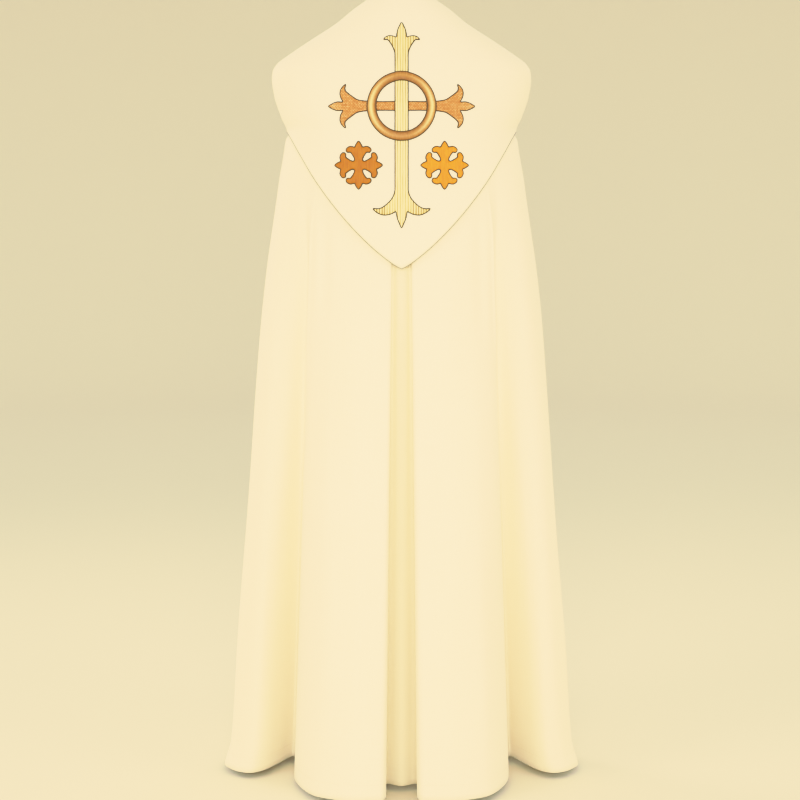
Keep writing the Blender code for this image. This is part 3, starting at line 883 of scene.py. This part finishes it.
class Crest:
    """The grid on which the embroidery is drawn, and the height that it has reached so far."""

    def __init__(self, hood):
        self.xs = np.arange(-CREST_HALF_WIDTH, CREST_HALF_WIDTH, CREST_GRID)
        self.zs = np.arange(CREST_BOTTOM, CREST_TOP, CREST_GRID)
        self.ground = np.zeros((len(self.zs), len(self.xs)))
        self.pieces = []
        mesh = hood.data
        self.tree = BVHTree.FromPolygons(
            [vertex.co for vertex in mesh.vertices], [list(p.vertices) for p in mesh.polygons]
        )

    def distances(self, strokes):
        """Signed distance to a shape, in metres, negative inside it."""
        best = np.full(self.ground.shape, 1.0)
        merge = MERGE / 1000.0
        for stroke in strokes:
            spots = sampled(stroke) / 1000.0
            reach = spots[:, 2].max() + REACH
            columns, rows = (
                np.where((values > spots[:, axis].min() - reach) & (values < spots[:, axis].max() + reach))[0]
                for axis, values in enumerate((self.xs, self.zs))
            )
            window = np.ix_(rows, columns)
            x, z = np.meshgrid(self.xs[columns], self.zs[rows])
            dx, dz = x[..., None] - spots[:, 0], z[..., None] - spots[:, 1]
            distance = (np.hypot(dx, dz) - spots[:, 2]).min(axis=2)
            old = best[window]
            blend = np.clip(0.5 + 0.5 * (old - distance) / merge, 0.0, 1.0)
            joined = old * (1.0 - blend) + distance * blend - merge * blend * (1.0 - blend)
            best[window] = np.where(old > 0.9, distance, joined)
        return best

    def on_hood(self, x, z, height):
        """A place at some height over the hood's face."""
        spot, normal, _, _ = self.tree.ray_cast(Vector((x, -1.0, CREST_HEIGHT + z)), Vector((0.0, 1.0, 0.0)))
        return spot + normal * height

    def softened(self):
        """The height reached so far, without its sharp steps."""
        values = self.ground
        for _ in range(GROUND_SOFTENED):
            wide = np.pad(values, 1, mode="edge")
            beside = wide[:-2, 1:-1] + wide[2:, 1:-1] + wide[1:-1, :-2] + wide[1:-1, 2:]
            values = (wide[1:-1, 1:-1] * 2 + beside) / 6.0
        return values

    def stitched(self, name, strokes, fill, material, cord, ridges=0.0):
        """Lays one stitched shape and the cord round it on the hood."""
        distance = self.distances(strokes)
        base = self.softened()
        depth = np.clip(-distance / fill.spread, 0.0, 1.0)
        top = base + fill.edge + fill.crown * np.sqrt(1.0 - (1.0 - depth) ** 2)
        if ridges:
            top = top + ridges * np.cos(2.0 * math.pi * self.xs / STAFF_RIDGE_PITCH)[None, :] * depth
        self.ground = np.where(distance < 0.0, top, self.ground)
        form = bmesh.new()
        stitch = form.loops.layers.uv.new("stitch")
        corners, spots = {}, {}

        def corner(first, second):
            """The shape's corner at a grid place, or where its outline passes between two of them."""
            key = (min(first, second), max(first, second))
            if key not in corners:
                start, end = key
                a, b = distance[start], distance[end]
                t = 0.0 if start == end else clamp(a / (a - b), 0.02, 0.98)

                def mixed(low, high):
                    return low * (1.0 - t) + high * t

                x = mixed(self.xs[start[1]], self.xs[end[1]])
                z = mixed(self.zs[start[0]], self.zs[end[0]])
                corners[key] = (
                    form.verts.new(self.on_hood(x, z, mixed(top[start], top[end]))),
                    form.verts.new(self.on_hood(x, z, mixed(base[start], base[end]) - SUNK)),
                )
                spots[corners[key][0]] = (x, z)
            return corners[key]

        inside = distance < 0.0
        busy = inside[:-1, :-1] | inside[1:, :-1] | inside[:-1, 1:] | inside[1:, 1:]
        walls = {}
        for r, c in zip(*np.where(busy)):
            square = ((r, c), (r, c + 1), (r + 1, c + 1), (r + 1, c))
            line = []
            for here, ahead in zip(square, square[1:] + square[:1]):
                if inside[here]:
                    line.append(corner(here, here))
                if inside[here] != inside[ahead]:
                    line.append(corner(here, ahead))
            if len(line) < 3:
                continue
            face = form.faces.new([pair[0] for pair in line])
            form.faces.new([pair[1] for pair in line[::-1]]).smooth = True
            face.smooth = True
            for loop in face.loops:
                loop[stitch].uv = spots[loop.vert]
            for here, ahead in zip(line, line[1:] + line[:1]):
                walls[here[0], ahead[0]] = (here, ahead)
        follow = {}
        for (a, b), (here, ahead) in walls.items():
            if (b, a) not in walls:
                form.faces.new((here[1], ahead[1], ahead[0], here[0]))
                follow[a] = b
        form.normal_update()
        loops = self.loops_of(follow, spots)
        item = finished(name, form, material)
        self.corded(name + "_cord", loops, base, fill.edge, cord)
        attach(item, "root")
        self.pieces.append(item)

    def loops_of(self, follow, spots):
        """Sorts the outline's steps into closed loops of places."""
        loops = []
        while follow:
            loop, here = [], next(iter(follow))
            while here in follow:
                loop.append(spots[here])
                here = follow.pop(here)
            if len(loop) > SHORTEST_LOOP:
                loops.append(np.array(loop))
        return loops

    def corded(self, name, loops, base, edge, material):
        """A couched cord along the outline of a shape."""
        for number, loop in enumerate(loops, start=1):
            for _ in range(LOOP_SOFTENED):
                loop = (np.roll(loop, 1, axis=0) + 2.0 * loop + np.roll(loop, -1, axis=0)) / 4.0
            closed = np.vstack([loop, loop[:1]])
            lengths = lengths_along(closed)
            count = max(SHORTEST_LOOP, round(lengths[-1] / CORD_STEP))
            marks = np.linspace(0.0, lengths[-1], count, endpoint=False)
            x, z = (np.interp(marks, lengths, closed[:, axis]) for axis in (0, 1))
            column, row = (
                np.clip(((spots - values[0]) / CREST_GRID).round().astype(int), 0, len(values) - 1)
                for spots, values in ((x, self.xs), (z, self.zs))
            )
            heights = base[row, column]
            for _ in range(LOOP_SOFTENED):
                heights = (np.roll(heights, 1) + 2.0 * heights + np.roll(heights, -1)) / 4.0
            middles, outs = [], []
            for a, b, height in zip(x, z, heights):
                low = self.on_hood(a, b, 0.0)
                out = (self.on_hood(a, b, 0.01) - low).normalized()
                middles.append(low + out * (height + edge * 0.8 + CORD_RADIUS * 0.3))
                outs.append(out)
            lengths = np.append(marks, lengths[-1])
            title = name if len(loops) == 1 else f"{name}_{number}"
            self.pieces.append(cord_tube(title, middles, outs, lengths, CORD_RADIUS, True, material))


COPPER = (0.500, 0.250, 0.062)
COPPER_DARK = (0.340, 0.145, 0.030)
COPPER_GOLD = (0.850, 0.620, 0.230)
GOLD_LIGHT = (0.760, 0.560, 0.185)
GOLD_PALE = (0.885, 0.705, 0.300)
GOLD_OLIVE = (0.370, 0.245, 0.060)
LATTICE_LIGHT = (0.670, 0.315, 0.082)
LATTICE_DEEP = (0.520, 0.210, 0.046)
LATTICE_DARK = (0.400, 0.165, 0.034)
LATTICE_TIP = (0.830, 0.530, 0.190)
ORANGE = (0.500, 0.190, 0.006)
ORANGE_DARK = (0.400, 0.135, 0.004)
GOLDEN = (0.710, 0.290, 0.008)
GOLDEN_DARK = (0.590, 0.215, 0.006)
CORD_BROWN = (0.095, 0.058, 0.016)
# Tan of the tube along the hood's edge: painted shadow
EDGE_SHADOW_TAN = (0.330, 0.285, 0.150)


def satin_material(name, light, dark, upright=True):
    """Smooth stitches side by side, each a little different in tone."""
    nodes = Nodes(name, light, 0.42, 0.30)
    vector, u, v = nodes.place("stitch")
    tones = nodes.noise(vector, *((900.0, 40.0) if upright else (40.0, 900.0)))
    cloud = nodes.noise(vector, 60.0, 60.0)
    nodes.colour(tones * 0.7 + cloud * 0.3, ((0.33, dark), (0.62, light)))
    nodes.bump((u if upright else v).threads(), 0.00018, 0.7)
    return nodes.material


def staff_material():
    """Pale gold laid threads with darker lines between the cords, darker still towards the leaves' tips."""
    nodes = Nodes("staff_gold", GOLD_PALE, 0.40, 0.35)
    vector, u, v = nodes.place("stitch")
    tone = u.wave(STAFF_RIDGE_PITCH, "COSINE") * 0.28 + nodes.noise(vector, 700.0, 18.0) * 0.9
    leaf = ((abs(v) - 0.112) * 30.0).clamped()
    nodes.colour(tone - leaf * (abs(u) * 6.0), ((0.10, GOLD_OLIVE), (0.32, GOLD_LIGHT), (0.62, GOLD_PALE)))
    nodes.bump(u.threads(), 0.00015, 0.6)
    return nodes.material


def crossbar_material():
    """Couched threads held by small stitches in a brick pattern, lighter at the leaves' tips."""
    nodes = Nodes("crossbar_copper", LATTICE_LIGHT, 0.45, 0.30)
    vector, u, v = nodes.place("stitch")
    tips = ((abs(u) - 0.098) * (1.0 / 0.022)).clamped()
    blend = (nodes.noise(vector, 90.0, 90.0) - 0.5) * 0.8 + (nodes.noise(vector, 300.0, 260.0) - 0.5) * 2.4
    ground = nodes.ramp(
        tips * 0.45 + (blend + 0.40), ((0.0, LATTICE_DEEP), (0.40, LATTICE_LIGHT), (1.0, LATTICE_TIP))
    )
    brick = nodes.add(
        "ShaderNodeTexBrick", Vector=vector, Color1=ground, Color2=ground, Mortar=(*LATTICE_DARK, 1.0), Scale=1.0,
        Brick_Width=0.0046, Row_Height=0.0025, Mortar_Size=0.00062, Mortar_Smooth=0.5,
    )
    nodes.put(Value(nodes, brick.outputs["Color"]), nodes.shader["Base Color"])
    nodes.bump(v.threads() * 0.35 - Value(nodes, brick.outputs["Fac"]), 0.00022, 0.7)
    return nodes.material


def ring_material():
    """Satin stitches across the ring's band in copper and gold threads, with painted shade towards its edges and a
    painted highlight along its crown.
    """
    nodes = Nodes("ring_gold", COPPER, 0.38, 0.35)
    _, u, v = nodes.place("stitch")
    aside, above = u - CROSSING[0] / 1000.0, v - CROSSING[1] / 1000.0
    turn = nodes.math("ARCTAN2", aside, above)
    reach = nodes.math("SQRT", aside * aside + above * above) - RING_RADIUS / 1000.0
    thread = nodes.add("ShaderNodeCombineXYZ", X=turn * (RING_RADIUS / 1000.0), Y=reach)
    tones = nodes.noise(Value(nodes, thread.outputs[0]), 1000.0, 60.0)
    # painted highlight along the band's crown and painted shade towards its edges; the tone is also lighter on the
    # ring's left and right
    middle = abs(reach * (1000.0 / RING_BAND) - 0.12) * -1.05 + 1.0
    swell = nodes.math("SINE", turn)
    tone = middle * (swell * swell * 0.65 + 0.35) + (tones - 0.5) * 0.45
    nodes.colour(tone, ((0.05, COPPER_DARK), (0.35, COPPER), (0.95, COPPER_GOLD)))
    nodes.bump(turn.threads(2.0 * math.pi / RING_THREADS), 0.00020, 0.7)
    return nodes.material


def cord_material(name, colour):
    """A twisted cord."""
    nodes = Nodes(name, colour, 0.5)
    _, u, v = nodes.place("stitch")
    lines = (u + v).threads(TWIST_PITCH)
    nodes.colour(lines, ((0.2, colour), (0.9, tuple(min(1.4 * c, 0.9) for c in colour))))
    nodes.bump(lines, 0.00025, 0.8)
    return nodes.material


def build_crest(hood):
    """The leafed cross, the ring round its crossing and the two crosslets on the hood."""
    crest = Crest(hood)
    cord = cord_material("outline_cord", CORD_BROWN)
    crossbar = [stroke for angle in CROSSBAR_ANGLES for stroke in turned(CROSSBAR_ARM, angle, CROSSING)]
    crest.stitched("crossbar", crossbar, CROSSBAR_FILL, crossbar_material(), cord)
    crest.stitched("staff", STAFF, STAFF_FILL, staff_material(), cord, ridges=STAFF_RIDGE)
    (x, z), around = CROSSING, [2.0 * math.pi * step / RING_STEPS for step in range(RING_STEPS + 1)]
    ring = [(x + RING_RADIUS * math.sin(a), z + RING_RADIUS * math.cos(a), RING_BAND) for a in around]
    crest.stitched("ring", [ring], RING_FILL, ring_material(), cord)
    for name, middle, material in (
        ("crosslet_left", LEFT_CROSSLET, satin_material("crosslet_orange", ORANGE, ORANGE_DARK)),
        ("crosslet_right", RIGHT_CROSSLET, satin_material("crosslet_golden", GOLDEN, GOLDEN_DARK)),
    ):
        strokes = [stroke for angle in CROSSLET_ANGLES for stroke in turned(CROSSLET_ARM, angle, middle)]
        crest.stitched(name, strokes, CROSSLET_FILL, material, cord)
    return crest.pieces


# Camera: level with the shoulder blades and tilted down a little, as in the photo
CAMERA_DISTANCE = 3.4
CAMERA_HEIGHT = -0.3343
CAMERA_TILT = math.radians(6.6326)
CAMERA_LENS = 82.50
CAMERA_ASIDE = -0.0028
FLOOR_HEIGHT = HEM_HEIGHT - 0.012
FLOOR_MIDDLE = 3.0
FLOOR_REACH = 6.0
WALL_CURVE = 2.5
WALL_CURVE_STEPS = 12
WALL_HEIGHT = 3.4
FLOOR_SIDES = 72
FLOOR_COLOUR = (0.885, 0.812, 0.600)


def build_camera():
    data = bpy.data.cameras.new("camera")
    data.sensor_width = 36.0
    data.lens = CAMERA_LENS
    item = linked("camera", data)
    item.location = (CAMERA_ASIDE, -CAMERA_DISTANCE, CAMERA_HEIGHT)
    item.rotation_euler = (math.pi / 2.0 - CAMERA_TILT, 0.0, 0.0)
    bpy.context.scene.camera = item


def build_stage():
    """A plain pale floor that rises far away into a low wall all round."""
    form = bmesh.new()
    profile = [(FLOOR_MIDDLE, 0.0), (FLOOR_REACH, 0.0)]
    for step in range(1, WALL_CURVE_STEPS + 1):
        turn = math.pi / 2.0 * step / WALL_CURVE_STEPS
        profile.append((FLOOR_REACH + WALL_CURVE * math.sin(turn), WALL_CURVE * (1.0 - math.cos(turn))))
    profile.append((FLOOR_REACH + WALL_CURVE, WALL_HEIGHT))
    around = [2.0 * math.pi * k / FLOOR_SIDES for k in range(FLOOR_SIDES)]
    middle = form.verts.new((0.0, 0.0, 0.0))
    rings = [[form.verts.new((r * math.cos(a), r * math.sin(a), z)) for a in around] for r, z in profile]
    for k in range(FLOOR_SIDES):
        n = (k + 1) % FLOOR_SIDES
        form.faces.new((middle, rings[0][k], rings[0][n]))
        for low, high in zip(rings, rings[1:]):
            form.faces.new((low[k], high[k], high[n], low[n])).smooth = True
    item = finished("floor", form, Nodes("floor", FLOOR_COLOUR, 0.85, 0.1).material)
    item.location = (0.0, 0.0, FLOOR_HEIGHT)


LIGHT_SIZE = 1.8
LIGHT_SPREAD = math.radians(60.0)
LIGHT_AIM = (0.0, 0.0, -0.75)
LIGHTS = (
    ("key", (-4.3, -3.0, 0.6), 5.2),
    ("middle", (-0.1, -5.3, 0.2), 12.6),
    ("fill", (4.5, -2.9, -0.2), 4.8),
    ("front_left", (-4.4, 3.0, 0.9), 6.0),
    ("front_right", (3.4, 4.5, 1.1), 2.0),
)
WORLD_COLOUR = (1.0, 0.985, 0.96, 1.0)
WORLD_STRENGTH = 0.55
RESPONSE_WHITE = 1.6
# Scene light against the picture's light, for red, green and blue
RESPONSES = (
    (
        (0.0, 0.0), (0.10, 0.125), (0.30, 0.42), (0.50, 0.76), (0.65, 0.890), (0.80, 0.938), (0.95, 0.960),
        (RESPONSE_WHITE, 0.985),
    ),
    (
        (0.0, 0.0), (0.10, 0.125), (0.25, 0.38), (0.37, 0.57), (0.48, 0.72), (0.60, 0.790), (0.75, 0.825),
        (0.90, 0.855), (RESPONSE_WHITE, 0.94),
    ),
    (
        (0.0, 0.0), (0.05, 0.065), (0.12, 0.19), (0.18, 0.30), (0.24, 0.395), (0.32, 0.465), (0.42, 0.530),
        (0.52, 0.580), (0.80, 0.70), (RESPONSE_WHITE, 0.90),
    ),
)


def build_light():
    for name, spot, energy in LIGHTS:
        data = bpy.data.lights.new(name, "AREA")
        data.energy, data.size, data.spread = energy, LIGHT_SIZE, LIGHT_SPREAD
        item = linked(name, data)
        item.location = spot
        item.rotation_euler = (Vector(LIGHT_AIM) - Vector(spot)).to_track_quat("-Z", "Y").to_euler()
    world = bpy.data.worlds.new("studio")
    world.use_nodes = True
    background = world.node_tree.nodes["Background"]
    background.inputs[0].default_value = WORLD_COLOUR
    background.inputs[1].default_value = WORLD_STRENGTH
    bpy.context.scene.world = world


def build_response():
    """How the photo's bright, soft exposure answers to light: it holds back the highlights."""
    view = bpy.context.scene.view_settings
    view.view_transform = "Standard"
    view.use_curve_mapping = True
    mapping = view.curve_mapping
    mapping.white_level = (RESPONSE_WHITE,) * 3
    mapping.extend = "HORIZONTAL"
    for curve, table in zip(mapping.curves, RESPONSES):
        points = [(light / RESPONSE_WHITE, answer) for light, answer in table]
        curve.points[0].location, curve.points[-1].location = points[0], points[-1]
        for light, answer in points[1:-1]:
            curve.points.new(light, answer)
    mapping.update()


cloth = cloth_material("cream_cloth_weave", CLOTH_LIGHT, CLOTH_DEEP)
thread = satin_material("cream_thread", THREAD_LIGHT, THREAD_DEEP, upright=False)
backs = build_body(cloth, cloth_material("pleat_painted_shade_weave", PLEAT_PAINTED_SHADE_LIGHT, PLEAT_PAINTED_SHADE_DEEP), thread)
hood, hood_shadow_cord = build_hood(cloth)
crest_pieces = build_crest(hood)
build_morse(cloth, thread)
build_camera()
build_stage()
build_light()
build_response()
